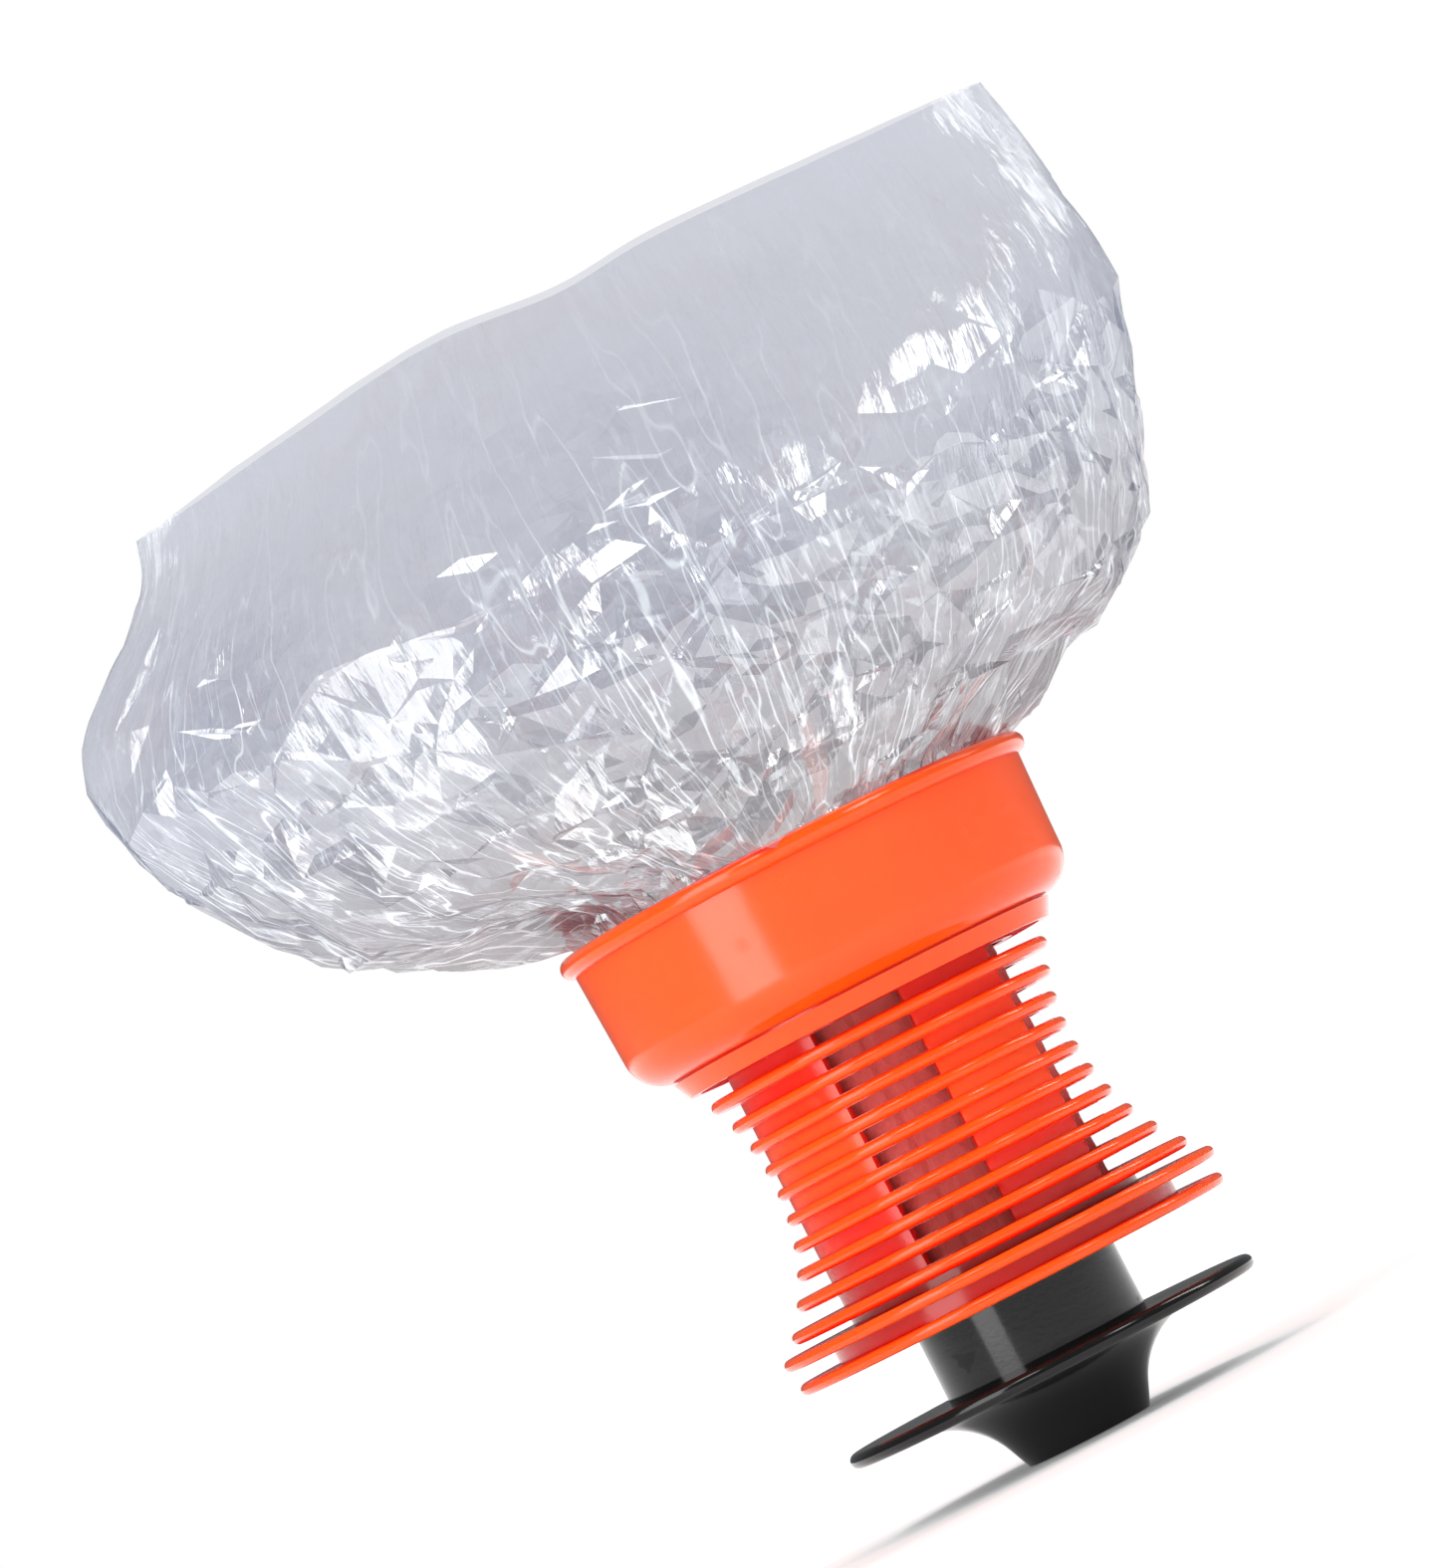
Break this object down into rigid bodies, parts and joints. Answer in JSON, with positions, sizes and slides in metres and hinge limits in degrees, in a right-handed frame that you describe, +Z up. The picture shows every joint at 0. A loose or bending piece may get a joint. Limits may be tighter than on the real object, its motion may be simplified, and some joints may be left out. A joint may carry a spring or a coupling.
{
  "type": "smoke escape hood",
  "caption": "Hand-held smoke escape hood: a clear film hood gathered into an orange storage cup on a finned, slotted filter grip, with a black outlet horn at the foot.",
  "frame": {"origin": "centre of the horn's open lower end, on the canister's axis, with the horn pulled out", "axes": "+Z up along the canister's axis towards the hood; X along the hood's width, with its longer lobe at -X; Y across the hood's depth, with its front at -Y"},
  "size_m": [0.22, 0.112, 0.2419],
  "materials": {
    "clear_film": "gloss",
    "orange_plastic": "gloss",
    "black_plastic": "gloss",
    "white_plastic": "satin",
    "bright_steel": "brushed",
    "black_rubber": "matte",
    "silicone": "satin",
    "felt": "matte",
    "carbon": "matte",
    "catalyst": "matte"
  },
  "bodies": {
    "grip": {"hood_front_panel": "clear_film", "hood_back_panel": "clear_film", "hood_clamp_ring": "white_plastic", "clamp_screws": "bright_steel", "storage_cup": "orange_plastic", "finned_cage": "orange_plastic", "base_cap": "orange_plastic", "horn_seal": "black_rubber", "felt_sleeve": "felt", "cartridge_bottom_plate": "white_plastic", "cartridge_top_plate": "white_plastic", "outer_screen": "bright_steel", "carbon_bed": "carbon", "middle_screen": "bright_steel", "catalyst_bed": "catalyst", "inner_screen": "bright_steel", "top_gasket": "black_rubber", "exhaust_tube": "white_plastic", "exhale_valve_seat": "white_plastic", "exhale_valve_guard": "white_plastic", "valve_plate": "white_plastic", "inhale_valve_guard": "white_plastic", "mouthpiece": "silicone"},
    "stop_ring": {"horn_stop_ring": "bright_steel"},
    "horn": {"outlet_horn": "black_plastic"},
    "inhale_valve": {"inhale_valve_disc": "silicone"},
    "exhale_valve": {"exhale_valve_disc": "silicone"}
  },
  "joints": [
    {"name": "horn_slide", "type": "slide", "parent": "grip", "child": "stop_ring", "axis": [0, 0, 1], "range_m": [0, 0.012]},
    {"name": "horn_turn", "type": "hinge", "parent": "stop_ring", "child": "horn", "pos_m": [0, 0, 0.045], "axis": [0, 0, 1], "continuous": true},
    {"name": "inhale_lift", "type": "slide", "parent": "grip", "child": "inhale_valve", "axis": [0, 0, 1], "range_m": [0, 0.0014], "stiffness_N_per_m": 12, "springref_m": -0.0006},
    {"name": "exhale_lift", "type": "slide", "parent": "grip", "child": "exhale_valve", "axis": [0, 0, -1], "range_m": [0, 0.0014], "stiffness_N_per_m": 12, "springref_m": -0.0006}
  ]
}
